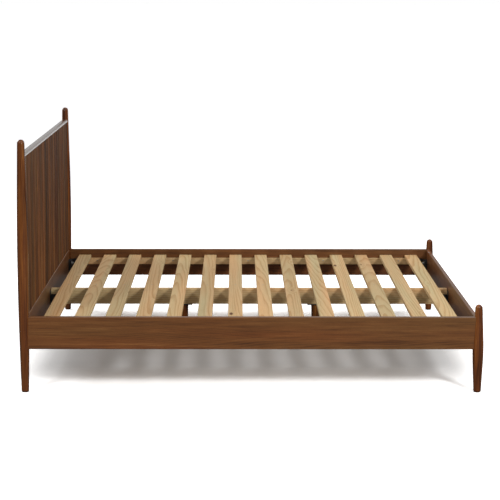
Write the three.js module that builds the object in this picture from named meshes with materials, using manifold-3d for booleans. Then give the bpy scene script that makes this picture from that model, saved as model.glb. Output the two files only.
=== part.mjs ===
// Wooden bed frame for a 1930 x 2032 mm mattress: four turned posts, a headboard of
// tongue-and-groove boards under a cap rail, side and foot rails, and a slatted deck on
// ledgers and a centre beam. Millimetres, +Z up, +X from the headboard to the foot.
// The origin is on the floor under the middle of the frame. Left is -Y, the side on the
// left hand of somebody who stands at the foot and faces the headboard.

import * as THREE from 'three';
import { mergeVertices } from 'three/addons/utils/BufferGeometryUtils.js';
import Module from 'manifold-3d';

const wasm = await Module();
wasm.setup();

// ---------------------------------------------------------------- driving dimensions
const GAP = 0.3;                    // clearance between touching pieces

const POST_SPAN_X = 2105;           // head post axis to foot post axis
const POST_SPAN_Y = 2010;           // left post axis to right post axis
const HEAD_HEIGHT = 1177;
const FOOT_HEIGHT = 415;
const POST_END_RADIUS = 17.5;       // radius of a post at the floor and under its dome
const HEAD_TAPER = 0.021;           // radius gained for each millimetre of length
const HEAD_BLEND = 320;             // half the length of the swelling between the tapers
const FOOT_TAPER = 0.046;
const FOOT_BLEND = 50;
const POST_SEGMENTS = 32;
const SWELL_STEPS = 6;              // rings along the swelling of a post
const DOME_STEPS = 4;               // rings over its rounded top
const FOOT_EASING = 2;              // small bevel round its lower end

const GLIDE_HEIGHT = 4;
const GLIDE_RADIUS = 15;
const EDGE = 1;                     // small bevel round the glides and the leveller pads

const RAIL_TOP = 356;
const RAIL_HEIGHT = 151;
const RAIL_THICKNESS = 27;
const FOOT_RAIL_THICKNESS = 18;
const FOOT_RAIL_INSET = 10;         // from the post axis to the middle of the foot rail

const CAP_TOP = 1110;
const CAP_THICKNESS = 15;
const CAP_DEPTH = 30;

const BOARD_COUNT = 17;
const BOARD_THICKNESS = 24;
const BOARD_CHAMFER = 3.5;          // half of the V groove between two boards
const TONGUE_LENGTH = 7;
const TONGUE_THICKNESS = 6;
const END_TONGUE_THICKNESS = 10;    // what is left of a board where it enters the cap and the rail
const PANEL_GROOVE = 6;             // depth of the grooves in the cap and the bottom rail
const PANEL_INSET = 20;             // from a post's axis to the nominal edge of the first board

const SLAT_COUNT = 14;
const SLAT_WIDTH = 70;
const SLAT_THICKNESS = 18;
const SLAT_TOP = 326;
const SLAT_FIELD = 2032;            // length of mattress that the slats share
const SLAT_END_CLEARANCE = 4;

const LEDGER_WIDTH = 25;
const LEDGER_HEIGHT = 35;
const LEDGER_SETBACK = 55;          // room for the corner brackets at each end

const BEAM_WIDTH = 40;
const BEAM_HEIGHT = 80;
const STEEL = 3;                    // plate thickness of the brackets, hangers and plates
const HANGER_LENGTH = 45;
const HANGER_FLANGE = 90;           // width of the plate screwed to the rail
const HANGER_DROP = 8;              // from the top of the beam down to the top of that plate
const CHEEK_HEIGHT = 52;            // how far up the beam the hanger's cheeks reach

const BRACKET_LEG = 52;             // from the corner of the rails to the end of a flange
const BRACKET_WEB = 28;             // from the same corner to the start of the sloping web
const BRACKET_HEIGHT = 88;
const BRACKET_BOTTOM = 214;

const LEG_X = 345;                  // distance of each centre leg from the middle
const LEG_TOP_RADIUS = 24;
const LEG_FOOT_RADIUS = 17;
const LEG_PLATE = [90, 60];
const PAD_HEIGHT = 8;
const PAD_RADIUS = 18;
const PAD_SHOULDER_WIDTH = 3;
const PAD_SHOULDER_HEIGHT = 2;
const STUD_RADIUS = 5;
const STUD_TOP = 58;
const BORE_RADIUS = 5.6;
const BORE_TOP = 78;

// ------------------------------------------------------------------ derived positions
const HEAD_MAX_RADIUS = spindleRadius(0, HEAD_HEIGHT, HEAD_TAPER, HEAD_BLEND);
const FOOT_MAX_RADIUS = spindleRadius(0, FOOT_HEIGHT, FOOT_TAPER, FOOT_BLEND);
const CENTRING = (HEAD_MAX_RADIUS - FOOT_MAX_RADIUS) / 2;
const HEAD_X = -POST_SPAN_X / 2 + CENTRING;
const FOOT_X = POST_SPAN_X / 2 + CENTRING;
const POST_Y = POST_SPAN_Y / 2;

const RAIL_BOTTOM = RAIL_TOP - RAIL_HEIGHT;
const SIDE_INNER_Y = POST_Y - RAIL_THICKNESS / 2;
const HEAD_INNER_X = HEAD_X + RAIL_THICKNESS / 2;
const FOOT_RAIL_X = FOOT_X - FOOT_RAIL_INSET;
const FOOT_INNER_X = FOOT_RAIL_X - FOOT_RAIL_THICKNESS / 2;
const SUPPORT_TOP = SLAT_TOP - SLAT_THICKNESS - GAP;
const BEAM_BOTTOM = SUPPORT_TOP - BEAM_HEIGHT;
const LEG_PLATE_BOTTOM = BEAM_BOTTOM - GAP - STEEL;
const LEG_TOP = LEG_PLATE_BOTTOM - GAP;
const LEG_BOTTOM = PAD_HEIGHT + GAP;

// -------------------------------------------------------------------------- materials
const standard = (color, roughness, metalness) =>
  new THREE.MeshStandardMaterial({ color, roughness, metalness });
const WALNUT_POST = standard(0x6a4024, 0.45, 0);
const WALNUT_RAIL = standard(0x69452a, 0.5, 0);
const WALNUT_BOARD = standard(0x5c4230, 0.5, 0);
const WALNUT_CAP = standard(0x745a44, 0.4, 0);
const PINE = standard(0xc9a878, 0.7, 0);
const ZINC = standard(0x8d8f91, 0.4, 1);
const BLACK_STEEL = standard(0x2b2b2c, 0.5, 0.6);
const NYLON = standard(0x3b3029, 0.6, 0);

// ---------------------------------------------------------------------------- helpers
const bed = new THREE.Group();

const numbered = (name, index) => `${name}_${String(index + 1).padStart(2, '0')}`;

function addPart(name, geometry, material) {
  const mesh = new THREE.Mesh(geometry, material);
  mesh.name = name;
  bed.add(mesh);
}

function toSolid(geometry) {
  const bare = geometry.clone();
  bare.deleteAttribute('normal');
  bare.deleteAttribute('uv');
  const merged = mergeVertices(bare, 1e-4);
  return new wasm.Manifold(new wasm.Mesh({
    numProp: 3,
    vertProperties: new Float32Array(merged.attributes.position.array),
    triVerts: new Uint32Array(merged.index.array),
  }));
}

function toGeometry(solid) {
  const mesh = solid.getMesh();
  const geometry = new THREE.BufferGeometry();
  const positions = new Float32Array(mesh.vertProperties);
  geometry.setAttribute('position', new THREE.BufferAttribute(positions, 3));
  geometry.setIndex(new THREE.BufferAttribute(new Uint32Array(mesh.triVerts), 1));
  geometry.computeVertexNormals();
  return geometry;
}

// A block between two opposite corners, given in either order.
function block(x0, y0, z0, x1, y1, z1) {
  const geometry = new THREE.BoxGeometry(Math.abs(x1 - x0), Math.abs(y1 - y0), Math.abs(z1 - z0));
  return geometry.translate((x0 + x1) / 2, (y0 + y1) / 2, (z0 + z1) / 2);
}

// A plan outline, given as [x, y] points, extruded upwards from z0 to z1.
function upright(outline, z0, z1) {
  const shape = new THREE.Shape(outline.map(([x, y]) => new THREE.Vector2(x, y)));
  const geometry = new THREE.ExtrudeGeometry(shape, { depth: z1 - z0, bevelEnabled: false });
  return geometry.translate(0, 0, z0);
}

// A profile of [radius, height] points, turned about an upright axis at x, y.
function turned(profile, x, y) {
  const points = profile.map(([radius, height]) => new THREE.Vector2(radius, height));
  return new THREE.LatheGeometry(points, POST_SEGMENTS).rotateX(Math.PI / 2).translate(x, y, 0);
}

// The geometry left when solids are cut from it.
function cut(geometry, cutters) {
  return toGeometry(cutters.reduce((solid, cutter) => solid.subtract(cutter), toSolid(geometry)));
}

// ------------------------------------------------------------------------------ posts
// Radius of a post at a distance from its middle: two straight tapers joined by a parabola.
function spindleRadius(distance, height, taper, blend) {
  const half = (height - POST_END_RADIUS) / 2;
  const away = Math.abs(distance);
  const rounding = away < blend ? (blend - away) ** 2 / (2 * blend) : 0;
  return POST_END_RADIUS + taper * (half - away - rounding);
}

function postProfile(height, taper, blend, grow) {
  const middle = (height - POST_END_RADIUS) / 2;
  const bottom = GLIDE_HEIGHT + GAP - grow;
  const footRadius = spindleRadius(middle - bottom, height, taper, blend) + grow;
  const points = [[0, bottom], [footRadius - FOOT_EASING, bottom], [footRadius, bottom + FOOT_EASING]];
  for (let step = 0; step <= SWELL_STEPS; step += 1) {
    const distance = blend * (2 * step / SWELL_STEPS - 1);
    points.push([spindleRadius(distance, height, taper, blend) + grow, middle + distance]);
  }
  for (let step = 0; step < DOME_STEPS; step += 1) {
    const angle = Math.PI / 2 * step / DOME_STEPS;
    const radius = POST_END_RADIUS + grow;
    points.push([radius * Math.cos(angle), height - POST_END_RADIUS + radius * Math.sin(angle)]);
  }
  points.push([0, height + grow]);
  return points;
}

const POSTS = [
  { name: 'head_post_left', x: HEAD_X, y: -POST_Y, shape: [HEAD_HEIGHT, HEAD_TAPER, HEAD_BLEND] },
  { name: 'head_post_right', x: HEAD_X, y: POST_Y, shape: [HEAD_HEIGHT, HEAD_TAPER, HEAD_BLEND] },
  { name: 'foot_post_left', x: FOOT_X, y: -POST_Y, shape: [FOOT_HEIGHT, FOOT_TAPER, FOOT_BLEND] },
  { name: 'foot_post_right', x: FOOT_X, y: POST_Y, shape: [FOOT_HEIGHT, FOOT_TAPER, FOOT_BLEND] },
];

for (const { name, x, y, shape } of POSTS) {
  addPart(name, turned(postProfile(...shape, 0), x, y), WALNUT_POST);
  const glide = [[0, 0], [GLIDE_RADIUS - EDGE, 0], [GLIDE_RADIUS, EDGE],
    [GLIDE_RADIUS, GLIDE_HEIGHT], [0, GLIDE_HEIGHT]];
  addPart(name.replace('post', 'glide'), turned(glide, x, y), NYLON);
}

// Each post grown by the gap: what the rails, the cap and the boards are scribed round.
const SCRIBES = POSTS.map(({ x, y, shape }) => toSolid(turned(postProfile(...shape, GAP), x, y)));
const HEAD_SCRIBES = SCRIBES.slice(0, 2);
const FOOT_SCRIBES = SCRIBES.slice(2);

// ----------------------------------------------------------------------------- rails
const POST_OVERLAP = 8;             // how near a post's axis a blank starts before scribing
for (const [side, sign] of [['left', -1], ['right', 1]]) {
  const outer = sign * (POST_Y + RAIL_THICKNESS / 2);
  const blank = block(HEAD_X + POST_OVERLAP, sign * SIDE_INNER_Y, RAIL_BOTTOM,
    FOOT_X - POST_OVERLAP, outer, RAIL_TOP);
  addPart(`side_rail_${side}`, cut(blank, SCRIBES), WALNUT_RAIL);
}

const footRail = block(FOOT_INNER_X, -SIDE_INNER_Y + GAP, RAIL_BOTTOM,
  FOOT_INNER_X + FOOT_RAIL_THICKNESS, SIDE_INNER_Y - GAP, RAIL_TOP);
addPart('foot_rail', cut(footRail, FOOT_SCRIBES), WALNUT_RAIL);

// The groove that holds the end tongues of the boards.
function panelGroove(z0, z1) {
  const half = END_TONGUE_THICKNESS / 2 + GAP;
  return toSolid(block(HEAD_X - half, -POST_Y, z0, HEAD_X + half, POST_Y, z1));
}

const headRail = block(HEAD_X - RAIL_THICKNESS / 2, POST_OVERLAP - POST_Y, RAIL_BOTTOM,
  HEAD_INNER_X, POST_Y - POST_OVERLAP, RAIL_TOP);
const headRailCuts = [...HEAD_SCRIBES, panelGroove(RAIL_TOP - PANEL_GROOVE, RAIL_TOP + PANEL_GROOVE)];
addPart('head_bottom_rail', cut(headRail, headRailCuts), WALNUT_RAIL);

// ------------------------------------------------------------------------- headboard
const CAP_BOTTOM = CAP_TOP - CAP_THICKNESS;
const capBlank = block(HEAD_X - CAP_DEPTH / 2, POST_OVERLAP - POST_Y, CAP_BOTTOM,
  HEAD_X + CAP_DEPTH / 2, POST_Y - POST_OVERLAP, CAP_TOP);
const capCuts = [...HEAD_SCRIBES, panelGroove(CAP_BOTTOM - PANEL_GROOVE, CAP_BOTTOM + PANEL_GROOVE)];
addPart('head_cap_rail', cut(capBlank, capCuts), WALNUT_CAP);

const PANEL_END = POST_Y - PANEL_INSET;
const BOARD_PITCH = 2 * PANEL_END / BOARD_COUNT;

// Plan outline of one board: V-grooved corners, a groove on its left edge, a tongue on its right.
function boardOutline(left, right, hasGroove, hasTongue) {
  const front = HEAD_X + BOARD_THICKNESS / 2;
  const back = HEAD_X - BOARD_THICKNESS / 2;
  const tongue = TONGUE_THICKNESS / 2;
  const slot = tongue + GAP;
  const depth = TONGUE_LENGTH + 2 * GAP;
  const outline = [[front, left + BOARD_CHAMFER], [front, right - BOARD_CHAMFER],
    [front - BOARD_CHAMFER, right]];
  if (hasTongue) {
    outline.push([HEAD_X + tongue, right], [HEAD_X + tongue, right + TONGUE_LENGTH],
      [HEAD_X - tongue, right + TONGUE_LENGTH], [HEAD_X - tongue, right]);
  }
  outline.push([back + BOARD_CHAMFER, right], [back, right - BOARD_CHAMFER],
    [back, left + BOARD_CHAMFER], [back + BOARD_CHAMFER, left]);
  if (hasGroove) {
    outline.push([HEAD_X - slot, left], [HEAD_X - slot, left + depth],
      [HEAD_X + slot, left + depth], [HEAD_X + slot, left]);
  }
  outline.push([front - BOARD_CHAMFER, left]);
  return outline;
}

// What is cut from both faces of a board at both ends, to leave its end tongues.
const SHOULDERS = [];
for (const side of [-1, 1]) {
  const tongueFace = HEAD_X + side * END_TONGUE_THICKNESS / 2;
  const outside = HEAD_X + side * BOARD_THICKNESS;
  SHOULDERS.push(toSolid(block(tongueFace, -POST_SPAN_Y, RAIL_TOP - PANEL_GROOVE,
    outside, POST_SPAN_Y, RAIL_TOP + GAP)));
  SHOULDERS.push(toSolid(block(tongueFace, -POST_SPAN_Y, CAP_BOTTOM - GAP,
    outside, POST_SPAN_Y, CAP_BOTTOM + PANEL_GROOVE)));
}

for (let index = 0; index < BOARD_COUNT; index += 1) {
  const isFirst = index === 0;
  const isLast = index === BOARD_COUNT - 1;
  const left = -PANEL_END + index * BOARD_PITCH + GAP / 2 - (isFirst ? POST_OVERLAP : 0);
  const right = -PANEL_END + (index + 1) * BOARD_PITCH - GAP / 2 + (isLast ? POST_OVERLAP : 0);
  const board = upright(boardOutline(left, right, !isFirst, !isLast),
    RAIL_TOP - PANEL_GROOVE + GAP, CAP_BOTTOM + PANEL_GROOVE - GAP);
  const scribes = isFirst || isLast ? HEAD_SCRIBES : [];
  addPart(numbered('head_board', index), cut(board, [...SHOULDERS, ...scribes]), WALNUT_BOARD);
}

// -------------------------------------------------------------------------- slat deck
for (const [side, sign] of [['left', -1], ['right', 1]]) {
  const face = SIDE_INNER_Y - GAP;
  addPart(`ledger_${side}`, block(HEAD_INNER_X + LEDGER_SETBACK, sign * face, SUPPORT_TOP - LEDGER_HEIGHT,
    FOOT_INNER_X - LEDGER_SETBACK, sign * (face - LEDGER_WIDTH), SUPPORT_TOP), PINE);
}

const DECK_MIDDLE = (HEAD_INNER_X + FOOT_INNER_X) / 2;
const SLAT_PITCH = SLAT_FIELD / SLAT_COUNT;
const SLAT_END = SIDE_INNER_Y - SLAT_END_CLEARANCE;
for (let index = 0; index < SLAT_COUNT; index += 1) {
  const x = DECK_MIDDLE + (index - (SLAT_COUNT - 1) / 2) * SLAT_PITCH;
  const slat = block(x - SLAT_WIDTH / 2, -SLAT_END, SLAT_TOP - SLAT_THICKNESS,
    x + SLAT_WIDTH / 2, SLAT_END, SLAT_TOP);
  addPart(numbered('slat', index), slat, PINE);
}

const BEAM_END_GAP = 2 * GAP + STEEL;
addPart('centre_beam', block(HEAD_INNER_X + BEAM_END_GAP, -BEAM_WIDTH / 2, BEAM_BOTTOM,
  FOOT_INNER_X - BEAM_END_GAP, BEAM_WIDTH / 2, SUPPORT_TOP), PINE);

// --------------------------------------------------------------------- steel hardware
// A saddle for one end of the beam: a flange on the rail, two cheeks and a seat.
const HANGER_TOP = SUPPORT_TOP - HANGER_DROP;
for (const [end, face, sign] of [['head', HEAD_INNER_X, 1], ['foot', FOOT_INNER_X, -1]]) {
  const near = face + sign * GAP;
  const front = near + sign * STEEL;
  const far = near + sign * HANGER_LENGTH;
  const inside = BEAM_WIDTH / 2 + GAP;
  const outside = inside + STEEL;
  const seat = BEAM_BOTTOM - GAP;
  const flange = block(near, -HANGER_FLANGE / 2, seat - STEEL, front, HANGER_FLANGE / 2, HANGER_TOP);
  const saddle = block(near, -outside, seat - STEEL, far, outside, seat + CHEEK_HEIGHT);
  const space = block(front, -inside, seat, far + sign * GAP, inside, SUPPORT_TOP);
  const hanger = toSolid(flange).add(toSolid(saddle)).subtract(toSolid(space));
  addPart(`beam_hanger_${end}`, toGeometry(hanger), BLACK_STEEL);
}

// A bent plate across each inside corner; its sloping web takes the bolt from the post.
const BRACKETS = [
  ['head_left', HEAD_INNER_X, 1, -1], ['head_right', HEAD_INNER_X, 1, 1],
  ['foot_left', FOOT_INNER_X, -1, -1], ['foot_right', FOOT_INNER_X, -1, 1],
];
const WEB_SLANT = STEEL * (Math.SQRT2 - 1);
for (const [corner, cornerX, intoX, side] of BRACKETS) {
  const inner = GAP + STEEL;
  const outline = [
    [BRACKET_LEG, GAP], [BRACKET_WEB, GAP], [GAP, BRACKET_WEB], [GAP, BRACKET_LEG],
    [inner, BRACKET_LEG], [inner, BRACKET_WEB + WEB_SLANT], [BRACKET_WEB + WEB_SLANT, inner],
    [BRACKET_LEG, inner],
  ].map(([along, inward]) => [cornerX + intoX * along, side * (SIDE_INNER_Y - inward)]);
  const bracket = upright(outline, BRACKET_BOTTOM, BRACKET_BOTTOM + BRACKET_HEIGHT);
  addPart(`corner_bracket_${corner}`, bracket, BLACK_STEEL);
}

// -------------------------------------------------------- centre legs and their levellers
for (const [end, x] of [['head', -LEG_X], ['foot', LEG_X]]) {
  const [plateLength, plateWidth] = LEG_PLATE;
  addPart(`leg_plate_${end}`, block(x - plateLength / 2, -plateWidth / 2, LEG_PLATE_BOTTOM,
    x + plateLength / 2, plateWidth / 2, LEG_PLATE_BOTTOM + STEEL), BLACK_STEEL);
  const leg = [[0, BORE_TOP], [BORE_RADIUS, BORE_TOP], [BORE_RADIUS, LEG_BOTTOM],
    [LEG_FOOT_RADIUS, LEG_BOTTOM], [LEG_TOP_RADIUS, LEG_TOP], [0, LEG_TOP]];
  addPart(`centre_leg_${end}`, turned(leg, x, 0), WALNUT_POST);
  const leveller = [[0, 0], [PAD_RADIUS - EDGE, 0], [PAD_RADIUS, EDGE],
    [PAD_RADIUS, PAD_HEIGHT - PAD_SHOULDER_HEIGHT], [PAD_RADIUS - PAD_SHOULDER_WIDTH, PAD_HEIGHT],
    [STUD_RADIUS, PAD_HEIGHT], [STUD_RADIUS, STUD_TOP], [0, STUD_TOP]];
  addPart(`leveller_${end}`, turned(leveller, x, 0), ZINC);
}

export default bed;
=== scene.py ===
import math

import bmesh
import bpy
from mathutils import Matrix, Vector


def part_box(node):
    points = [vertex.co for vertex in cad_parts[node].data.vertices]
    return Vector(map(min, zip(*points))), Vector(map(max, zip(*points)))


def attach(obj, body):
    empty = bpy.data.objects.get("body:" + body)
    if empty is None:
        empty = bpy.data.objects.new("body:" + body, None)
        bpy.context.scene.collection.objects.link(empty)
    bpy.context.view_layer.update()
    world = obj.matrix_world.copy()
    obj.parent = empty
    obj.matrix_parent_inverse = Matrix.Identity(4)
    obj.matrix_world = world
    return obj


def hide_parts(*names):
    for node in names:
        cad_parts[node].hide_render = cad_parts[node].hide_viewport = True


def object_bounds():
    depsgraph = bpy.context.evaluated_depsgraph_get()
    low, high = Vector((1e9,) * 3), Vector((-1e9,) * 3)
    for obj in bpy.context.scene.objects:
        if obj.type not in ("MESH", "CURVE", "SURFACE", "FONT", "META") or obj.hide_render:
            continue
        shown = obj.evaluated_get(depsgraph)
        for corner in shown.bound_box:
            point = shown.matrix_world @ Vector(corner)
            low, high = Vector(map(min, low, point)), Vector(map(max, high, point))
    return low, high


# The looks of a wooden bed frame: lacquered walnut posts, rails and cap, duller walnut boards, a
# pine slat deck, and the steel hardware that holds them. Metres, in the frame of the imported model.

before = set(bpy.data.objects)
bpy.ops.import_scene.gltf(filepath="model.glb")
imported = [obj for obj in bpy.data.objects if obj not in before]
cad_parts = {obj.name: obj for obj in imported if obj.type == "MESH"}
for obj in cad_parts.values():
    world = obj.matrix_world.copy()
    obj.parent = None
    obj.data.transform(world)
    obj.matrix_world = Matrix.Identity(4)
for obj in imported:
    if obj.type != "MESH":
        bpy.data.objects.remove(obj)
cad_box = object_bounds()

MM = 0.001
GAP = 0.3 * MM                      # clearance between touching pieces
BODY = "frame"                      # the body that everything but the levellers rides on

# ------------------------------------------------------------------ sizes shared with the frame
POST_END_RADIUS = 17.5 * MM         # radius at the floor and under the dome
HEAD_SPINDLE = (0.021, 320 * MM)    # taper for each metre of length, half length of the swelling
FOOT_SPINDLE = (0.046, 50 * MM)
POST_SEGMENTS = 96
BOARD_COUNT = 17
BOARD_CHAMFER = 3.5 * MM            # half of the V groove between two boards
TONGUE_LENGTH = 7 * MM
TONGUE_THICKNESS = 6 * MM
END_TONGUE_THICKNESS = 10 * MM      # what is left of a board where it enters the cap and the rail
PANEL_GROOVE = 6 * MM               # depth of the grooves in the cap and the bottom rail
SLAT_COUNT = 14
STEEL = 3 * MM                      # thickness of the bent plates
BRACKET_WEB = 28 * MM               # from the corner of the rails to the start of the sloping web

SMOOTH_ANGLE = math.radians(35)     # edges that turn more than this stay crisp


def middle(node):
    """The middle of a CAD node's box."""
    low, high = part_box(node)
    return (low + high) / 2


def numbered(name, index):
    return f"{name}_{index + 1:02d}"


# ------------------------------------------------------------------------------- mesh helpers
def finish_piece(bm, name, material, replaced=(), body=BODY):
    """Turns a bmesh into a shown piece with crisp edges kept and flat faces shaded flat."""
    bmesh.ops.recalc_face_normals(bm, faces=bm.faces)
    mesh = bpy.data.meshes.new(name)
    bm.to_mesh(mesh)
    bm.free()
    mesh.materials.append(material)
    mesh.shade_smooth()
    mesh.set_sharp_from_angle(angle=SMOOTH_ANGLE)
    piece = bpy.data.objects.new(name, mesh)
    bpy.context.scene.collection.objects.link(piece)
    normals = piece.modifiers.new("face_weighted_normals", "WEIGHTED_NORMAL")
    normals.keep_sharp = True
    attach(piece, body)
    if replaced:
        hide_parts(*replaced)
    return piece


def revolve(profile, x=0.0, y=0.0, segments=POST_SEGMENTS):
    """A closed solid of revolution about an upright axis. The profile starts and ends on the axis."""
    bm = bmesh.new()
    rings = []
    for radius, height in profile:
        if radius == 0:
            rings.append([bm.verts.new((x, y, height))])
            continue
        turn = [2 * math.pi * k / segments for k in range(segments)]
        rings.append([bm.verts.new((x + radius * math.cos(a), y + radius * math.sin(a), height))
                      for a in turn])
    for lower, upper in zip(rings, rings[1:]):
        for k in range(segments):
            quad = [lower[k % len(lower)], lower[(k + 1) % len(lower)],
                    upper[(k + 1) % len(upper)], upper[k % len(upper)]]
            bm.faces.new(list(dict.fromkeys(quad)))
    return bm


def rounded(outline, radius, steps=3):
    """A closed outline of (u, v) points with its corners rounded by arcs. A corner given as
    (u, v, r) gets the radius r in place of the common one."""
    smooth = []
    for index, corner in enumerate(outline):
        here = Vector(corner[:2])
        size = corner[2] if len(corner) > 2 else radius
        back = Vector(outline[index - 1][:2]) - here
        ahead = Vector(outline[(index + 1) % len(outline)][:2]) - here
        if size == 0:
            smooth.append(tuple(here))
            continue
        half = back.angle(ahead) / 2
        reach = size / math.tan(half)
        centre = here + (back.normalized() + ahead.normalized()).normalized() * size / math.sin(half)
        start = here + back.normalized() * reach - centre
        sweep = start.angle_signed(here + ahead.normalized() * reach - centre)
        for step in range(steps + 1):
            turn = -sweep * step / steps
            smooth.append(tuple(centre + Matrix.Rotation(turn, 2) @ start))
    return smooth


def prism(outline, start, end, axis="Z"):
    """A (u, v) outline extruded along an axis: (x, y) along Z, (y, z) along X, (z, x) along Y."""
    place = {
        "Z": lambda u, v, w: (u, v, w),
        "X": lambda u, v, w: (w, u, v),
        "Y": lambda u, v, w: (v, w, u),
    }[axis]
    bm = bmesh.new()
    first = [bm.verts.new(place(u, v, start)) for u, v in outline]
    last = [bm.verts.new(place(u, v, end)) for u, v in outline]
    count = len(outline)
    for k in range(count):
        bm.faces.new((first[k], first[(k + 1) % count], last[(k + 1) % count], last[k]))
    bm.faces.new(first[::-1])
    bm.faces.new(last)
    return bm


def block(low, high, radius=0.0, steps=3):
    """A block between two corners, with every edge rounded."""
    bm = bmesh.new()
    bmesh.ops.create_cube(bm, size=1)
    size = Vector(high) - Vector(low)
    centre = (Vector(high) + Vector(low)) / 2
    fitted = Matrix.Translation(centre) @ Matrix.Diagonal(size).to_4x4()
    bmesh.ops.transform(bm, matrix=fitted, verts=bm.verts)
    if radius:
        bmesh.ops.bevel(bm, geom=bm.edges[:], offset=radius, segments=steps, profile=0.5, affect="EDGES")
    return bm


def add_copy(target, source, matrix):
    """Copies a mesh into a bmesh, moved by a matrix."""
    before = len(target.verts)
    target.from_mesh(source)
    target.verts.ensure_lookup_table()
    bmesh.ops.transform(target, matrix=matrix, verts=target.verts[before:])


def cut(bm, cutters):
    """Cuts bmeshes out of a bmesh with an exact boolean, and gives the result as a new bmesh. It
    frees the bmeshes that it is given."""
    made = []
    for index, source in enumerate([bm, *cutters]):
        bmesh.ops.recalc_face_normals(source, faces=source.faces)
        mesh = bpy.data.meshes.new(f"cut_{index}")
        source.to_mesh(mesh)
        holder = bpy.data.objects.new(f"cut_{index}", mesh)
        bpy.context.scene.collection.objects.link(holder)
        made.append(holder)
    for cutter in made[1:]:
        boolean = made[0].modifiers.new("cut", "BOOLEAN")
        boolean.operation = "DIFFERENCE"
        boolean.solver = "EXACT"
        boolean.object = cutter
    evaluated = made[0].evaluated_get(bpy.context.evaluated_depsgraph_get())
    result = bmesh.new()
    result.from_mesh(evaluated.to_mesh())
    evaluated.to_mesh_clear()
    for holder in made:
        mesh = holder.data
        bpy.data.objects.remove(holder)
        bpy.data.meshes.remove(mesh)
    for source in (bm, *cutters):
        source.free()
    return result


# --------------------------------------------------------------------------- material helpers
def linear(hex_colour):
    """A hex colour such as "6a4024" as linear red, green, blue and alpha."""
    channels = [int(hex_colour[k:k + 2], 16) / 255 for k in (0, 2, 4)]
    return tuple(c / 12.92 if c <= 0.04045 else ((c + 0.055) / 1.055) ** 2.4 for c in channels) + (1.0,)


def shade(colour, factor):
    return tuple(c * factor for c in colour[:3]) + (1.0,)


class Graph:
    """The nodes of a material or a world, with short calls that add one and wire its inputs."""

    def __init__(self, owner):
        self.owner = owner
        self.owner.use_nodes = True
        self.tree = self.owner.node_tree
        self.tree.nodes.clear()

    def add(self, kind, inputs, **settings):
        node = self.tree.nodes.new("ShaderNode" + kind)
        for key, value in settings.items():
            setattr(node, key, value)
        for key, value in inputs.items():
            if isinstance(value, bpy.types.NodeSocket):
                self.tree.links.new(value, node.inputs[key])
            else:
                node.inputs[key].default_value = value
        return node

    def maths(self, operation, a, b=0.0, clamp=False):
        return self.add("Math", {0: a, 1: b}, operation=operation, use_clamp=clamp).outputs[0]

    def vector(self, operation, a, b):
        return self.add("VectorMath", {0: a, 1: b}, operation=operation).outputs[0]

    def noise(self, vector, scales, detail=2.0, roughness=0.5):
        """Noise over a vector stretched by scales, in cells to the metre."""
        stretched = self.vector("MULTIPLY", vector, scales)
        return self.add("TexNoise", {"Vector": stretched, "Scale": 1.0, "Detail": detail,
                                     "Roughness": roughness}).outputs["Fac"]

    def span(self, value, low, high, out_low=0.0, out_high=1.0, smooth=False):
        kind = "SMOOTHSTEP" if smooth else "LINEAR"
        node = self.add("MapRange", {0: value, 1: low, 2: high, 3: out_low, 4: out_high},
                        interpolation_type=kind)
        return node.outputs[0]

    def mix(self, factor, a, b, blend="MIX"):
        return self.add("Mix", {0: factor, 6: a, 7: b}, data_type="RGBA", blend_type=blend).outputs[2]

    def ramp(self, value, stops):
        node = self.add("ValToRGB", {0: value})
        node.color_ramp.interpolation = "EASE"
        points = node.color_ramp.elements
        while len(points) < len(stops):
            points.new(0.5)
        for point, (position, colour) in zip(points, stops):
            point.position = position
            point.color = colour
        return node.outputs[0]

    def surface(self, **inputs):
        """Ends the graph in a Principled shader, and gives the material."""
        shader = self.add("BsdfPrincipled", {key.replace("_", " "): value for key, value in inputs.items()})
        self.add("OutputMaterial", {"Surface": shader.outputs[0]})
        return self.owner


def material_graph(name):
    return Graph(bpy.data.materials.new(name))


# ------------------------------------------------------------------------------------- wood
GRAIN_TURN = {"X": (0, 0, 0), "Y": (0, 0, -math.pi / 2), "Z": (0, math.pi / 2, 0)}

# Each species: its colours from dark to light, growth ring spacing, how strongly rings, streaks
# and pores show, how much of a streak is broad, middling and fine, and its finish. Pine also has
# knots, and its rings wander less.
WALNUT_TURNED = dict(tones=("401d08", "743f17", "a0642a"), spacing=5 * MM, ring=0.26, streak=1.2, pore=0.5,
                     bands=(0.26, 0.4, 0.36), roughness=0.4, specular=0.2, coat=1.0, coat_roughness=0.1)
WALNUT_RAIL = dict(tones=("4f2c13", "794b24", "976739"), spacing=6 * MM, ring=0.24, streak=0.75, pore=0.5,
                   bands=(0.2, 0.36, 0.5), roughness=0.45, specular=0.2, coat=0.8, coat_roughness=0.32)
WALNUT_CAP = dict(WALNUT_RAIL, tones=("452a15", "6b4524", "85592f"), roughness=0.3, specular=0.5, coat=0.9,
                  coat_roughness=0.12)
WALNUT_BOARD = dict(tones=("331a0d", "6c4525", "9b6b3d"), spacing=7 * MM, ring=0.26, streak=1.25, pore=0.5,
                    bands=(0.44, 0.3, 0.26), roughness=0.6, specular=0.06, coat=0.0, coat_roughness=0.3)
PINE = dict(tones=("c79f6c", "dcbd8d", "ead3a8"), spacing=8 * MM, ring=0.42, streak=0.4, pore=0.1,
            bands=(0.3, 0.4, 0.3), roughness=0.62, specular=0.3, coat=0.0, coat_roughness=0.3, knots=True,
            wander=5.0)
FIBRE_HEIGHT = 0.25 * MM
GROOVE_STAIN_AND_SHADE = 7 * MM               # how far from a joint the stain that gathers in it, and the painted shade of the groove, still show


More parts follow.
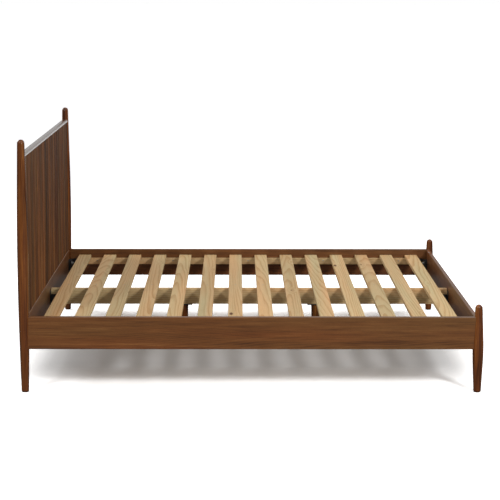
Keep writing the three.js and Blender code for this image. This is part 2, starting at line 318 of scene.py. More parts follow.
def wood(name, species, grain, centre, seed, tint=1.0, warmth=0.0, joints=None):
    """A piece of timber of its own: growth rings about a pith beside the piece, streaks, fibres and
    pores. Stain, with painted shade, gathers towards joints, two places along Y."""
    graph = material_graph(name)
    turn = Matrix.Rotation(GRAIN_TURN[grain][1], 3, "Y") @ Matrix.Rotation(GRAIN_TURN[grain][2], 3, "Z")
    coords = graph.add("TexCoord", {}).outputs["Object"]
    timber = graph.add("Mapping", {"Vector": coords, "Rotation": GRAIN_TURN[grain],
                                   "Location": -(turn @ Vector(centre))}).outputs[0]
    own = graph.vector("ADD", timber, (seed * 3.71 % 17, seed * 5.13 % 13, seed * 7.77 % 19))

    # Growth rings: distance from a leaning pith, made uneven by slow noise.
    lean = (0, 0.030 * math.sin(seed * 1.9), 0.022 * math.cos(seed * 2.7))
    pith = (0, 0.055 * math.sin(seed * 4.1), 0.075 + 0.035 * math.cos(seed * 3.3))
    leaning = graph.add("Mapping", {"Vector": timber, "Rotation": lean, "Location": pith}).outputs[0]
    across = graph.vector("MULTIPLY", leaning, (0, 1, 1))
    distance = graph.add("VectorMath", {0: across}, operation="LENGTH").outputs["Value"]
    wander = graph.noise(own, (0.8, 6, 6), detail=3)
    rings = graph.maths("ADD", graph.maths("DIVIDE", distance, species["spacing"]),
                        graph.maths("MULTIPLY", wander, species.get("wander", 9.0)))
    knot = None
    if species.get("knots"):
        cells = graph.vector("MULTIPLY", own, (1.9, 7, 7))
        nearest = graph.add("TexVoronoi", {"Vector": cells, "Scale": 1.0}).outputs["Distance"]
        knot = graph.span(nearest, 0.035, 0.08, 1.0, 0.0, smooth=True)
        halo = graph.span(nearest, 0.05, 0.22, 1.0, 0.0, smooth=True)
        rings = graph.maths("ADD", rings, graph.maths("MULTIPLY", halo, 2.5))
    phase = graph.maths("FRACT", rings)
    late = graph.maths("MULTIPLY", graph.span(phase, 0.30, 0.94, smooth=True),
                       graph.span(phase, 0.94, 1.0, 1.0, 0.0, smooth=True))

    # Streaks a hand wide, a finger wide, a match wide, and single fibres.
    broad = graph.noise(own, (0.7, 16, 16), detail=3)
    middling = graph.noise(own, (1.2, 46, 46), detail=3)
    fine = graph.noise(own, (4.5, 130, 130), detail=4, roughness=0.6)
    fibre = graph.noise(own, (22, 1300, 1300), detail=2)
    streaks = 0.0
    for band, reach in zip((broad, middling, fine), species["bands"]):
        streaks = graph.maths("ADD", streaks, graph.span(band, 0.3, 0.7, -reach, reach))
    tone = graph.maths("ADD", 0.56, graph.maths("MULTIPLY", streaks, 0.62 * species["streak"]))
    tone = graph.maths("SUBTRACT", tone, graph.maths("MULTIPLY", late, species["ring"]), clamp=True)
    dark, body, light = (shade(linear(colour), tint) for colour in species["tones"])
    colour = graph.ramp(tone, [(0.0, dark), (0.5, body), (1.0, light)])
    redness = graph.noise(own, (0.7, 11, 11), detail=2)
    red = graph.mix(1.0, colour, (1.13, 0.96, 0.86, 1), blend="MULTIPLY")
    grey = graph.mix(1.0, colour, (0.92, 1.02, 1.02, 1), blend="MULTIPLY")
    colour = graph.mix(graph.span(redness, 0.3 - warmth, 0.7 - warmth), grey, red)

    # Pores: short dark dashes along the grain, more of them in the early wood.
    dash = graph.noise(own, (70, 1500, 1500), detail=1)
    pores = graph.maths("MULTIPLY", graph.span(dash, 0.60, 0.70, smooth=True),
                        graph.span(late, 0, 1, 1.0, 0.4))
    pores = graph.maths("MULTIPLY", pores, species["pore"])
    colour = graph.mix(pores, colour, shade(dark, 0.45))
    fleck = graph.span(fibre, 0.3, 0.7, 0.90, 1.08)
    colour = graph.mix(1.0, colour, graph.add("CombineColor", {0: fleck, 1: fleck, 2: fleck}).outputs[0],
                       blend="MULTIPLY")
    if knot:
        colour = graph.mix(knot, colour, linear("6b4120"))
    # Stain gathered at the V-grooves, deepened as painted shade of the grooves.
    if joints:
        along = graph.add("SeparateXYZ", {0: coords}).outputs[1]
        inside = graph.maths("MINIMUM", graph.maths("SUBTRACT", along, joints[0]),
                             graph.maths("SUBTRACT", joints[1], along))
        stained_and_shaded = graph.mix(1.0, colour, (0.30, 0.27, 0.25, 1), blend="MULTIPLY")
        colour = graph.mix(graph.span(inside, 0.5 * MM, GROOVE_STAIN_AND_SHADE, smooth=True), stained_and_shaded, colour)

    # The finish follows the grain: fibres stand up, pores sink, and late wood is a little glossier.
    roughness = graph.maths("ADD", graph.span(fibre, 0.3, 0.7, -0.05, 0.06),
                            graph.span(late, 0, 1, species["roughness"], species["roughness"] - 0.05))
    height = graph.maths("SUBTRACT", graph.maths("MULTIPLY", fibre, 0.35),
                         graph.maths("MULTIPLY", pores, 0.8))
    normal = graph.add("Bump", {"Height": height, "Strength": 0.35, "Distance": FIBRE_HEIGHT}).outputs[0]
    return graph.surface(Base_Color=colour, Roughness=roughness, Normal=normal,
                         Specular_IOR_Level=species["specular"], Coat_Weight=species["coat"],
                         Coat_Roughness=species["coat_roughness"])


# ------------------------------------------------------------------------ metal and plastic
def powder_coat():
    """Black powder coat with its fine orange peel."""
    graph = material_graph("black_powder_coat")
    coords = graph.add("TexCoord", {}).outputs["Object"]
    peel = graph.noise(coords, (900, 900, 900), detail=2)
    dust = graph.noise(coords, (60, 60, 60), detail=3)
    colour = graph.mix(graph.span(dust, 0.35, 0.75), linear("232426"), linear("303134"))
    normal = graph.add("Bump", {"Height": peel, "Strength": 0.25, "Distance": 0.15 * MM}).outputs[0]
    return graph.surface(Base_Color=colour, Roughness=graph.span(dust, 0.3, 0.7, 0.42, 0.55), Normal=normal)


def zinc_plate():
    """Bright zinc with a faint yellow and blue passivation, and fine rolling marks."""
    graph = material_graph("zinc_plate")
    coords = graph.add("TexCoord", {}).outputs["Object"]
    cloud = graph.noise(coords, (120, 120, 120), detail=3)
    marks = graph.noise(coords, (300, 300, 2500), detail=2)
    colour = graph.mix(graph.span(cloud, 0.3, 0.7), linear("b9b7a6"), linear("b3bac4"))
    normal = graph.add("Bump", {"Height": marks, "Strength": 0.2, "Distance": 0.05 * MM}).outputs[0]
    return graph.surface(Base_Color=colour, Metallic=1.0, Normal=normal,
                         Roughness=graph.span(marks, 0.3, 0.7, 0.24, 0.4))


def nylon():
    """Dark brown moulded nylon with a fine spark texture."""
    graph = material_graph("brown_nylon")
    coords = graph.add("TexCoord", {}).outputs["Object"]
    spark = graph.noise(coords, (1600, 1600, 1600), detail=2)
    scuff = graph.noise(coords, (90, 90, 90), detail=4)
    colour = graph.mix(graph.span(scuff, 0.35, 0.8), linear("3a2c22"), linear("4d3d31"))
    normal = graph.add("Bump", {"Height": spark, "Strength": 0.3, "Distance": 0.08 * MM}).outputs[0]
    return graph.surface(Base_Color=colour, Roughness=graph.span(scuff, 0.3, 0.7, 0.5, 0.68), Normal=normal)


BLACK = powder_coat()
ZINC = zinc_plate()
NYLON = nylon()


# ------------------------------------------------------------------------------------ posts
def spindle_radius(distance, height, spindle):
    """Radius of a post at a distance from its middle: two straight tapers joined by a parabola."""
    taper, blend = spindle
    half = (height - POST_END_RADIUS) / 2
    rounding = max(0.0, blend - distance) ** 2 / (2 * blend)
    return POST_END_RADIUS + taper * (half - distance - rounding)


def eased_rim(radius, bottom, easing):
    """The profile points up the rounded lower edge of a turned piece."""
    turns = [math.pi / 2 * step / 4 for step in range(5)]
    return [(radius - easing * (1 - math.sin(turn)), bottom + easing * (1 - math.cos(turn)))
            for turn in turns]


def post_profile(bottom, height, spindle, grow=0.0):
    middle_height = (height - POST_END_RADIUS) / 2
    easing = 2 * MM
    foot = spindle_radius(middle_height - bottom, height, spindle) + grow
    profile = [(0, bottom - grow), *eased_rim(foot, bottom - grow, easing)]
    steps = 36
    start = bottom + easing
    for step in range(1, steps):
        z = start + (height - POST_END_RADIUS - start) * step / steps
        profile.append((spindle_radius(abs(z - middle_height), height, spindle) + grow, z))
    dome = 12
    radius = POST_END_RADIUS + grow
    for step in range(dome):
        turn = math.pi / 2 * step / dome
        profile.append((radius * math.cos(turn), height - POST_END_RADIUS + radius * math.sin(turn)))
    profile.append((0, height + grow))
    return profile


POSTS = {
    "head_post_left": HEAD_SPINDLE,
    "head_post_right": HEAD_SPINDLE,
    "foot_post_left": FOOT_SPINDLE,
    "foot_post_right": FOOT_SPINDLE,
}


def post_solid(node, grow=0.0):
    low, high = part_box(node)
    centre = middle(node)
    return revolve(post_profile(low.z, high.z, POSTS[node], grow), centre.x, centre.y)


def scribes(*nodes):
    """Posts grown by the gap, which rails, cap and boards are cut round."""
    return [post_solid(node, GAP) for node in nodes]


def make_posts():
    for index, node in enumerate(POSTS):
        timber = wood(node + "_walnut", WALNUT_TURNED, "Z", middle(node), seed=14 + index)
        finish_piece(post_solid(node), node + "_turned", timber, [node])


GLIDE_EDGE = 1.2 * MM               # rounding of a glide's rim


def make_glides():
    for node in (name.replace("post", "glide") for name in POSTS):
        low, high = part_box(node)
        centre = middle(node)
        radius = (high.x - low.x) / 2
        profile = [(0, low.z), *eased_rim(radius, low.z, GLIDE_EDGE), (radius, high.z), (0, high.z)]
        finish_piece(revolve(profile, centre.x, centre.y, 48), node + "_moulded", NYLON, [node])


# ------------------------------------------------------------------------------------ rails
RAIL_EDGE = 2.2 * MM                # rounding of the rails' long edges
SCRIBE_REACH = 12 * MM              # how far a blank runs on under a post before it is cut


def lengthened(node, axis, reach):
    """A node's box, longer by a reach at both ends of one axis."""
    low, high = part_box(node)
    low[axis] -= reach
    high[axis] += reach
    return low, high


def make_side_rails():
    for index, side in enumerate(("left", "right")):
        node = f"side_rail_{side}"
        low, high = lengthened(node, 0, SCRIBE_REACH)
        rail = cut(block(low, high, RAIL_EDGE), scribes(f"head_post_{side}", f"foot_post_{side}"))
        timber = wood(node + "_walnut", WALNUT_RAIL, "X", middle(node), seed=21 + index)
        finish_piece(rail, node + "_board", timber, [node])


def make_foot_rail():
    low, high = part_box("foot_rail")
    rail = cut(block(low, high, RAIL_EDGE), scribes("foot_post_left", "foot_post_right"))
    timber = wood("foot_rail_walnut", WALNUT_RAIL, "Y", middle("foot_rail"), seed=25)
    finish_piece(rail, "foot_rail_board", timber, ["foot_rail"])


def panel_groove(bottom, top):
    """The slot that holds the end tongues of the boards."""
    core = middle("head_cap_rail").x
    half = END_TONGUE_THICKNESS / 2 + GAP
    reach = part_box("head_cap_rail")[1].y + SCRIBE_REACH
    return block((core - half, -reach, bottom), (core + half, reach, top))


def make_head_rail():
    low, high = lengthened("head_bottom_rail", 1, SCRIBE_REACH)
    cutters = scribes("head_post_left", "head_post_right")
    cutters.append(panel_groove(high.z - PANEL_GROOVE, high.z + PANEL_GROOVE))
    rail = cut(block(low, high, RAIL_EDGE), cutters)
    timber = wood("head_rail_walnut", WALNUT_RAIL, "Y", middle("head_bottom_rail"), seed=27)
    finish_piece(rail, "head_bottom_rail_board", timber, ["head_bottom_rail"])


# -------------------------------------------------------------------------------- headboard
def make_cap():
    """The cap: a bullnose towards the bed, crisper elsewhere, and its ends scribed to the posts."""
    low, high = lengthened("head_cap_rail", 1, SCRIBE_REACH)
    nose, back_edge, bottom_edge = 10 * MM, 5 * MM, 1.5 * MM
    section = [(low.z, low.x, bottom_edge), (high.z, low.x, back_edge),
               (high.z, high.x, nose), (low.z, high.x, bottom_edge)]
    cap = prism(rounded(section, nose, steps=10), low.y, high.y, axis="Y")
    cutters = scribes("head_post_left", "head_post_right")
    cutters.append(panel_groove(low.z - PANEL_GROOVE, low.z + PANEL_GROOVE))
    timber = wood("head_cap_walnut", WALNUT_CAP, "Y", middle("head_cap_rail"), seed=31)
    finish_piece(cut(cap, cutters), "head_cap_board", timber, ["head_cap_rail"])


def board_outline(front, back, left, right, has_groove, has_tongue):
    """Plan outline of a board with V-grooved corners, a groove on its left and a tongue on its right."""
    core = (front + back) / 2
    tongue = TONGUE_THICKNESS / 2
    slot = tongue + GAP
    depth = TONGUE_LENGTH + 2 * GAP
    arris, crisp = 0.9 * MM, 0.3 * MM
    outline = [(front, left + BOARD_CHAMFER, arris), (front, right - BOARD_CHAMFER, arris),
               (front - BOARD_CHAMFER, right, arris)]
    if has_tongue:
        outline += [(core + tongue, right, 0), (core + tongue, right + TONGUE_LENGTH, crisp),
                    (core - tongue, right + TONGUE_LENGTH, crisp), (core - tongue, right, 0)]
    outline += [(back + BOARD_CHAMFER, right, arris), (back, right - BOARD_CHAMFER, arris),
                (back, left + BOARD_CHAMFER, arris), (back + BOARD_CHAMFER, left, arris)]
    if has_groove:
        outline += [(core - slot, left, crisp), (core - slot, left + depth, 0),
                    (core + slot, left + depth, 0), (core + slot, left, crisp)]
    outline.append((front - BOARD_CHAMFER, left, arris))
    return rounded(outline, arris, steps=3)


# How light each board is, from the left.
BOARD_TINTS = (0.88, 1.12, 0.96, 0.80, 1.08, 1.0, 1.15, 0.84, 1.06,
               0.82, 1.10, 0.98, 0.85, 1.14, 0.92, 1.12, 0.9)


def shoulders():
    """What is cut from both faces of a board at both ends, to leave its end tongues."""
    core = middle("head_cap_rail").x
    rail_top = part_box("head_bottom_rail")[1].z
    cap_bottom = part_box("head_cap_rail")[0].z
    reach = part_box("head_cap_rail")[1].y + SCRIBE_REACH
    cutters = []
    for side in (-1, 1):
        faces = sorted((core + side * END_TONGUE_THICKNESS / 2, core + side * 4 * END_TONGUE_THICKNESS))
        for bottom, top in ((rail_top - 2 * PANEL_GROOVE, rail_top + GAP),
                            (cap_bottom - GAP, cap_bottom + 2 * PANEL_GROOVE)):
            cutters.append(block((faces[0], -reach, bottom), (faces[1], reach, top)))
    return cutters


def make_boards():
    last = BOARD_COUNT - 1
    for index in range(BOARD_COUNT):
        node = numbered("head_board", index)
        low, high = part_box(node)
        ends = index in (0, last)
        left = low.y - (SCRIBE_REACH if index == 0 else 0)
        right = high.y + (SCRIBE_REACH if index == last else -TONGUE_LENGTH)
        outline = board_outline(high.x, low.x, left, right, index > 0, index < last)
        cutters = shoulders()
        if ends:
            cutters += scribes("head_post_left" if index == 0 else "head_post_right")
        board = cut(prism(outline, low.z, high.z), cutters)
        timber = wood(node + "_walnut", WALNUT_BOARD, "Z", middle(node), seed=41 + index,
                      tint=BOARD_TINTS[index], warmth=0.12 * math.sin(index * 2.4), joints=(left, right))
        finish_piece(board, node + "_plank", timber, [node])


# -------------------------------------------------------------------------------- slat deck
def make_deck():
    for index in range(SLAT_COUNT):
        node = numbered("slat", index)
        timber = wood(node + "_pine", PINE, "Y", middle(node), seed=71 + index,
                      tint=1.0 + 0.07 * math.sin(index * 2.1))
        finish_piece(block(*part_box(node), 2.5 * MM, 4), node + "_planed", timber, [node])
    for index, node in enumerate(("ledger_left", "ledger_right", "centre_beam")):
        timber = wood(node + "_pine", PINE, "X", middle(node), seed=91 + index, tint=0.94)
        finish_piece(block(*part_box(node), 1.5 * MM), node + "_planed", timber, [node])


# ---------------------------------------------------------------------------------- fasteners
def screw_head(radius=4 * MM, rise=0.5 * MM):
    """A countersunk screw head with a cross recess, its rim at z = 0 and its shank below."""
    profile = [(0, -14 * MM), (0.6 * MM, -13 * MM), (1.5 * MM, -11 * MM), (1.5 * MM, -3 * MM),
               (radius, -0.3 * MM)]
    profile += [(radius * math.cos(a), rise * math.sin(a)) for a in (math.pi / 2 * k / 5 for k in range(5))]
    profile.append((0, rise))
    arm, width, depth = 0.55 * radius, 0.17 * radius, 1.4 * MM
    recess = [block((-arm, -width, -depth), (arm, width, rise * 2)),
              block((-width, -arm, -depth), (width, arm, rise * 2))]
    mesh = bpy.data.meshes.new("screw_head")
    cut(revolve(profile, segments=24), recess).to_mesh(mesh)
    return mesh


def hex_nut(across_flats=13 * MM, height=6.5 * MM, bore=4.1 * MM):
    """A nut whose corners are turned down at both faces."""
    corner = across_flats / math.sqrt(3)
    hexagon = [(corner * math.cos(math.pi / 3 * k), corner * math.sin(math.pi / 3 * k)) for k in range(6)]
    cone = [(0, height), (across_flats / 2, height), (corner * 1.02, height * 0.86),
            (corner * 1.02, height * 0.14), (across_flats / 2, 0), (0, 0)]

    def drum(radius, segments):
        """A cylinder that runs past both faces of the nut."""
        outline = [(0, -height), (radius, -height), (radius, height * 2), (0, height * 2)]
        return revolve(outline, segments=segments)

    turned_down = cut(drum(corner * 2, 48), [revolve(cone[::-1], segments=48)])
    hole = drum(bore, 32)
    mesh = bpy.data.meshes.new("hex_nut")
    cut(prism(hexagon, 0, height), [turned_down, hole]).to_mesh(mesh)
    return mesh


WASHER_THICKNESS = 1.6 * MM


def washer(radius=10 * MM, height=WASHER_THICKNESS):
    mesh = bpy.data.meshes.new("washer")
    edge = 0.4 * MM
    profile = [(0, 0), (radius - edge, 0), (radius, edge), (radius, height - edge), (radius - edge, height),
               (0, height)]
    revolve(profile, segments=40).to_mesh(mesh)
    return mesh


def threaded_rod(length, radius=3.9 * MM, pitch=1.25 * MM):
    """A rod with its thread cut as close rings, along +Z from the origin."""
    mesh = bpy.data.meshes.new("threaded_rod")
    profile = [(0, 0)]
    for turn in range(int(length / pitch)):
        profile += [(radius * 0.84, turn * pitch), (radius, (turn + 0.5) * pitch)]
    profile += [(radius * 0.84, length), (0, length)]
    revolve(profile, segments=24).to_mesh(mesh)
    return mesh


def facing(position, direction, roll=0.0):
    """The matrix that stands a part of +Z build on a point, pointing along a direction."""
    turn = Vector((0, 0, 1)).rotation_difference(Vector(direction)).to_matrix().to_4x4()
    return Matrix.Translation(position) @ turn @ Matrix.Rotation(roll, 4, "Z")


def fastener_group(name, placements, material):
    """One piece made of many small solids. Placements are (mesh, matrix)."""
    group = bmesh.new()
    for mesh, matrix in placements:
        add_copy(group, mesh, matrix)
    return finish_piece(group, name, material)


def screws(points, direction, mesh):
    """Screws at points, each turned to an angle of its own."""
    return [(mesh, facing(point, direction, roll=1.3 * index)) for index, point in enumerate(points)]


def make_deck_screws(head):
    slat_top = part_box(numbered("slat", 0))[1].z
    ledger_y = middle("ledger_right").y
    tops = []
    for index in range(SLAT_COUNT):
        centre = middle(numbered("slat", index))
        tops += [(centre.x + 18 * MM * (-1) ** index, side * ledger_y, slat_top) for side in (-1, 1)]
        tops.append((centre.x, 0, slat_top))
    fastener_group("slat_screws", screws(tops, (0, 0, 1), head), ZINC)
    placements = []
    for side, node in ((-1, "ledger_left"), (1, "ledger_right")):
        low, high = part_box(node)
        face = high.y if side < 0 else low.y
        level = (low.z + high.z) / 2
        count = 9
        points = [(low.x + (high.x - low.x) * (k + 0.5) / count, face, level + 4 * MM * (-1) ** k)
                  for k in range(count)]
        placements += screws(points, (0, -side, 0), head)
    fastener_group("ledger_screws", placements, ZINC)


# -------------------------------------------------------------------------------- steel parts
def bent_strip(path, thickness, bend):
    """The outline of a strip of sheet bent along an open path of (u, v) points."""
    half = thickness / 2
    centre = [Vector(point) for point in path]

    def offset(side):
        line = []
        for k, point in enumerate(centre):
            into = (point - centre[k - 1]).normalized() if k else (centre[1] - point).normalized()
            out = (centre[k + 1] - point).normalized() if k + 1 < len(centre) else into
            normal = Vector((-into.y, into.x)) + Vector((-out.y, out.x))
            normal.normalize()
            stretch = half / max(0.2, normal.dot(Vector((-into.y, into.x))))
            sweep = into.x * out.y - into.y * out.x
            radius = 0 if k in (0, len(centre) - 1) else bend + (-half if sweep * side > 0 else half)
            line.append((*(point + normal * side * stretch), max(radius, 0.3 * MM) if radius else 0.4 * MM))
        return line

    return rounded(offset(1) + offset(-1)[::-1], 0.4 * MM, steps=5)


BRACKET_BEND = 3.5 * MM             # radius of its bends, along the middle of the sheet
BRACKET_INSET = 22 * MM             # from its upper and lower edges to the screws and bolts
ROD_SET_BACK = 16 * MM              # how deep the rods start, inside the post


def make_brackets(head, nut, ring, rod):
    """Bent corner plates with their screws, and the two bolts of each that come out of the post."""
    screw_places, bolt_places = [], []
    for end, into_x in (("head", 1), ("foot", -1)):
        for side, into_y in (("left", 1), ("right", -1)):
            node = f"corner_bracket_{end}_{side}"
            low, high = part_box(node)
            corner = Vector((low.x if into_x > 0 else high.x, low.y if into_y > 0 else high.y, 0))
            leg = high.x - low.x
            half = STEEL / 2
            slant = half * (math.sqrt(2) - 1)
            path = [(leg, half), (BRACKET_WEB + slant, half), (half, BRACKET_WEB + slant), (half, leg)]
            outline = [(corner.x + into_x * u, corner.y + into_y * v)
                       for u, v in bent_strip(path, STEEL, bend=BRACKET_BEND)]
            bm = prism(outline, low.z, high.z)
            finish_piece(bm, node + "_plate", BLACK, [node])

            heights = [low.z + BRACKET_INSET, high.z - BRACKET_INSET]
            reach = (leg + BRACKET_WEB) / 2
            along = [corner + Vector((into_x * reach, into_y * STEEL, z)) for z in heights]
            inward = [corner + Vector((into_x * STEEL, into_y * reach, z)) for z in heights]
            screw_places += screws(along, (0, into_y, 0), head) + screws(inward, (into_x, 0, 0), head)

            outward = Vector((into_x, into_y, 0)).normalized()
            web = corner + Vector((into_x, into_y, 0)) * (BRACKET_WEB / 2 + half)
            face = web + outward * half
            for z in heights:
                at = face + Vector((0, 0, z))
                bolt_places.append((ring, facing(at, outward)))
                bolt_places.append((nut, facing(at + outward * WASHER_THICKNESS, outward, roll=z * 9)))
                bolt_places.append((rod, facing(at - outward * ROD_SET_BACK, outward)))
    fastener_group("bracket_screws", screw_places, ZINC)
    fastener_group("bracket_bolts", bolt_places, ZINC)


HANGER_BEND = 2.2 * MM
CHEEK_HEIGHT = 52 * MM              # how far up the beam the hangers' cheeks reach


def make_hangers(head):
    """The beam's saddles: a bent channel on a plate that is screwed to the rail."""
    placements = []
    beam_low, beam_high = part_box("centre_beam")
    inside = beam_high.y + GAP
    half = STEEL / 2
    for end, into_x in (("head", 1), ("foot", -1)):
        node = f"beam_hanger_{end}"
        low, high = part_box(node)
        back = low.x if into_x > 0 else high.x
        tip = high.x if into_x > 0 else low.x
        cheek_top = low.z + STEEL + CHEEK_HEIGHT
        wall = inside + half
        path = [(-wall, cheek_top), (-wall, low.z + half), (wall, low.z + half), (wall, cheek_top)]
        front = back + into_x * STEEL
        section = bent_strip(path, STEEL, bend=HANGER_BEND)
        channel = prism(section, min(front, tip), max(front, tip), axis="X")
        corners = [(low.y, low.z), (high.y, low.z), (high.y, high.z), (low.y, high.z)]
        plate = prism(rounded(corners, 6 * MM, steps=6), min(back, front), max(back, front), axis="X")
        mesh = bpy.data.meshes.new("plate")
        plate.to_mesh(mesh)
        add_copy(channel, mesh, Matrix.Identity(4))
        finish_piece(channel, node + "_saddle", BLACK, [node])

        flange_y = (inside + STEEL + high.y) / 2
        heights = (low.z + 16 * MM, high.z - 16 * MM)
        points = [(front, side * flange_y, z) for side in (-1, 1) for z in heights]
        placements += screws(points, (into_x, 0, 0), head)
        cheek_x = (front + tip) / 2
        for side in (-1, 1):
            placements += screws([(cheek_x, side * (inside + STEEL), low.z + 32 * MM)], (0, side, 0), head)
    fastener_group("hanger_screws", placements, ZINC)


# --------------------------------------------------------------------- centre legs, levellers
LEG_FOOT_RADIUS = 17 * MM
LEG_EASING = 1.5 * MM               # rounding of a leg's lower edge, and the bevel at its top
LEG_STEPS = 14                      # rings along a leg
BORE_RADIUS = 5.6 * MM              # the bore that a leveller's stud goes up
BORE_TOP = 78 * MM
PAD_RADIUS = 18 * MM
PAD_TOP = 8 * MM
STUD_RADIUS = 5 * MM
STUD_PITCH = 1.5 * MM


def make_centre_legs(head):
    placements = []
    for index, end in enumerate(("head", "foot")):
        plate_low, plate_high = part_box(f"leg_plate_{end}")
        corners = [(plate_low.x, plate_low.y), (plate_high.x, plate_low.y),
                   (plate_high.x, plate_high.y), (plate_low.x, plate_high.y)]
        plate = prism(rounded(corners, 8 * MM, steps=6), plate_low.z, plate_high.z)
        finish_piece(plate, f"leg_plate_{end}_steel", BLACK, [f"leg_plate_{end}"])
        inset = 9 * MM
        points = [(x, y, plate_low.z) for x in (plate_low.x + inset, plate_high.x - inset)
                  for y in (plate_low.y + inset * 1.4, plate_high.y - inset * 1.4)]
        placements += screws(points, (0, 0, -1), head)

        node = f"centre_leg_{end}"
        low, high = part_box(node)
        centre = middle(node)
        top_radius = (high.x - low.x) / 2
        profile = [(0, BORE_TOP), (BORE_RADIUS, BORE_TOP), (BORE_RADIUS, low.z)]
        profile += eased_rim(LEG_FOOT_RADIUS, low.z, LEG_EASING)
        for step in range(1, LEG_STEPS + 1):
            part = step / LEG_STEPS
            z = low.z + LEG_EASING + (high.z - 2 * LEG_EASING - low.z) * part
            profile.append((LEG_FOOT_RADIUS + (top_radius - LEG_FOOT_RADIUS) * part, z))
        profile += [(top_radius - LEG_EASING, high.z), (0, high.z)]
        timber = wood(node + "_walnut", WALNUT_TURNED, "Z", centre, seed=101 + index)
        leg = revolve(profile, centre.x, centre.y, 64)
        finish_piece(leg, node + "_turned", timber, [node])
    fastener_group("leg_plate_screws", placements, ZINC)


def make_levellers():
    """A pad with a soft rim under a threaded stud, on a body of its own."""
    for end in ("head", "foot"):
        node = f"leveller_{end}"
        low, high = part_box(node)
        centre = middle(node)
        profile = [(0, 0), (PAD_RADIUS - 1.5 * MM, 0), (PAD_RADIUS - 0.4 * MM, 0.5 * MM),
                   (PAD_RADIUS, 1.6 * MM), (PAD_RADIUS, 4.4 * MM), (PAD_RADIUS - 0.5 * MM, 5.4 * MM),
                   (PAD_RADIUS - 3 * MM, 6.4 * MM), (9 * MM, 6.7 * MM), (8.5 * MM, PAD_TOP),
                   (STUD_RADIUS, PAD_TOP)]
        root = STUD_RADIUS * 0.86
        for turn in range(int((high.z - PAD_TOP) / STUD_PITCH)):
            z = PAD_TOP + turn * STUD_PITCH
            profile += [(root, z + 0.25 * STUD_PITCH), (STUD_RADIUS, z + 0.75 * STUD_PITCH)]
        profile += [(root, high.z), (0, high.z)]
        leveller = revolve(profile, centre.x, centre.y, 48)
        finish_piece(leveller, node + "_turned", ZINC, [node], body=node)


# ------------------------------------------------------------------------ stage, light, camera
ROOM_LIGHT = 0.06
OVERHEAD_LIGHT = 0.6
BACKDROP_LIGHT = 0.43
FLOOR_BOUNCE = 0.3                  # how light the floor is for the light that it throws up
FLOOR_MIRRORED = (0.12, 1.6)        # how light it is in reflections, near the bed and at its far end
FAR_FLOOR = (7.0, 11.0)             # the stretch behind the bed over which that changes
FLOOR_SEEN_WITH_PAINTED_SHADOW = (0.85, 2.2)            # how light the camera sees it: a painted shadow under the bed, white around it
PAINTED_SHADOW_INSET = (0.12, 0.65)          # where the painted shadow gives way to the lighter floor, inside the bed's outline
PAINTED_SHADOW_FADE = (0.26, 0.7)            # and how far it takes to get there


def make_floor():
    """A wide pale floor. The camera sees it white around the bed and greyer under it, as a painted
    shadow; it lights the bed from below like grey paper, and its mirror image is dark near the bed."""
    graph = material_graph("pale_floor_painted_shadow")
    reach = 150.0
    corners = [(-reach, -reach, 0), (reach, -reach, 0), (reach, reach, 0), (-reach, reach, 0)]
    mesh = bpy.data.meshes.new("floor")
    mesh.from_pydata(corners, [], [(0, 1, 2, 3)])
    floor = bpy.data.objects.new("floor", mesh)
    bpy.context.scene.collection.objects.link(floor)
    place = graph.add("NewGeometry", {}).outputs["Position"]
    from_middle = graph.add("VectorMath", {0: place}, operation="ABSOLUTE").outputs[0]
    # The painted shadow: inside this inset outline of the bed the camera sees the floor darker.
    painted_shadow_half = (cad_box[1].x - PAINTED_SHADOW_INSET[0], cad_box[1].y - PAINTED_SHADOW_INSET[1], 0)
    outside = graph.vector("MAXIMUM", graph.vector("SUBTRACT", from_middle, painted_shadow_half), (0, 0, 0))
    outside = graph.vector("DIVIDE", outside, (*PAINTED_SHADOW_FADE, 1))
    distance = graph.add("VectorMath", {0: outside}, operation="LENGTH").outputs["Value"]
    seen = graph.span(distance, 0, 1, *FLOOR_SEEN_WITH_PAINTED_SHADOW, smooth=True)
    along = graph.add("SeparateXYZ", {0: place}).outputs[1]
    mirrored = graph.span(along, *FAR_FLOOR, *FLOOR_MIRRORED, smooth=True)
    ray = graph.add("LightPath", {}).outputs
    level = graph.add("Mix", {0: ray["Is Glossy Ray"], 2: FLOOR_BOUNCE, 3: mirrored}).outputs[0]
    level = graph.add("Mix", {0: ray["Is Camera Ray"], 2: level, 3: seen}).outputs[0]
    paper = graph.add("CombineColor", {0: level, 1: level, 2: level}).outputs[0]
    shader = graph.add("BsdfDiffuse", {"Color": paper})
    graph.add("OutputMaterial", {"Surface": shader.outputs[0]})
    mesh.materials.append(graph.owner)


def make_surroundings():
    """A soft studio: white to the eye, bright overhead and behind, quieter at the sides."""
    world = bpy.data.worlds.new("studio")
    bpy.context.scene.world = world
    graph = Graph(world)
    direction = graph.add("SeparateXYZ", {0: graph.add("TexCoord", {}).outputs["Generated"]}).outputs
    overhead = graph.span(direction[2], 0.2, 0.9, 0.0, OVERHEAD_LIGHT, smooth=True)
    backdrop = graph.span(direction[1], 0.45, 0.95, 0.0, BACKDROP_LIGHT, smooth=True)

    # The backdrop is a low band: it begins at the horizon and fades out above.
    band = graph.maths("MULTIPLY", graph.span(direction[2], 0.18, 0.4, 1.0, 0.0, smooth=True),
                       graph.span(direction[2], -0.03, 0.0, smooth=True))
    glow = graph.maths("ADD", overhead, graph.maths("MULTIPLY", backdrop, band))
    level = graph.maths("ADD", glow, ROOM_LIGHT)
    seen = graph.add("LightPath", {}).outputs["Is Camera Ray"]
    strength = graph.add("Mix", {0: seen, 2: level, 3: 1.0}).outputs[0]
    shown = graph.add("Background", {0: (1, 1, 1, 1), 1: strength})
    graph.add("OutputWorld", {"Surface": shown.outputs[0]})


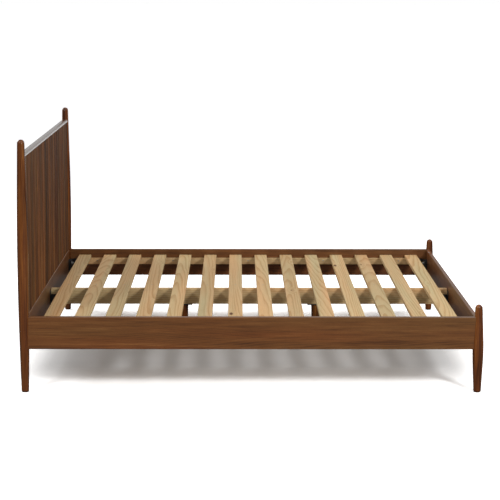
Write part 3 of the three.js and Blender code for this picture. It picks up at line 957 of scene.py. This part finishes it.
# Each light: where it stands, where it points, its width and height, and its power in watts.
LIGHTS = {
    "left_softbox": ((-3.0, -4.6, 3.3), (-0.2, -0.8, 0.4), (0.7, 0.7), 66),
    "right_softbox": ((2.8, -5.0, 3.0), (-0.4, -0.6, 0.6), (0.8, 0.9), 148),
    "back_softbox": ((-4.4, 2.6, 3.0), (-1.0, 0.2, 0.5), (1.6, 1.6), 60),
    "headboard_fill": ((4.4, 2.8, 2.8), (-1.0, 0.6, 0.8), (1.6, 1.6), 45),
}


def make_lights():
    for name, (position, target, size, watts) in LIGHTS.items():
        data = bpy.data.lights.new(name, "AREA")
        data.shape = "RECTANGLE"
        data.size, data.size_y = size
        data.energy = watts
        lamp = bpy.data.objects.new(name, data)
        lamp.location = position
        lamp.rotation_euler = (Vector(target) - Vector(position)).to_track_quat("-Z", "Y").to_euler()
        bpy.context.scene.collection.objects.link(lamp)


CAMERA_PLACE = (-0.0735, -8.6294, 1.8775)
CAMERA_YAW = 0.0086                 # radians to the right of straight across the bed
CAMERA_PITCH = 0.1572               # radians below level
CAMERA_ROLL = 0.0023
FOCAL_LENGTH = 3.3572               # in picture widths
SENSOR_WIDTH = 36.0


def make_camera():
    data = bpy.data.cameras.new("camera")
    data.sensor_width = SENSOR_WIDTH
    data.lens = SENSOR_WIDTH * FOCAL_LENGTH
    data.clip_end = 500
    camera = bpy.data.objects.new("camera", data)
    level = math.pi / 2 - CAMERA_PITCH
    turn = Matrix.Rotation(-CAMERA_YAW, 4, "Z")
    tilt = Matrix.Rotation(level, 4, "X")
    roll = Matrix.Rotation(CAMERA_ROLL, 4, "Z")
    camera.matrix_world = Matrix.Translation(CAMERA_PLACE) @ turn @ tilt @ roll
    bpy.context.scene.collection.objects.link(camera)
    bpy.context.scene.camera = camera


make_camera()
make_surroundings()
make_lights()
make_floor()
make_posts()
make_glides()
make_side_rails()
make_foot_rail()
make_head_rail()
make_cap()
make_boards()
make_deck()
SCREW = screw_head()
make_deck_screws(SCREW)
make_brackets(SCREW, hex_nut(), washer(), threaded_rod(30 * MM))
make_hangers(SCREW)
make_centre_legs(SCREW)
make_levellers()

bpy.context.scene.view_settings.view_transform = "Standard"
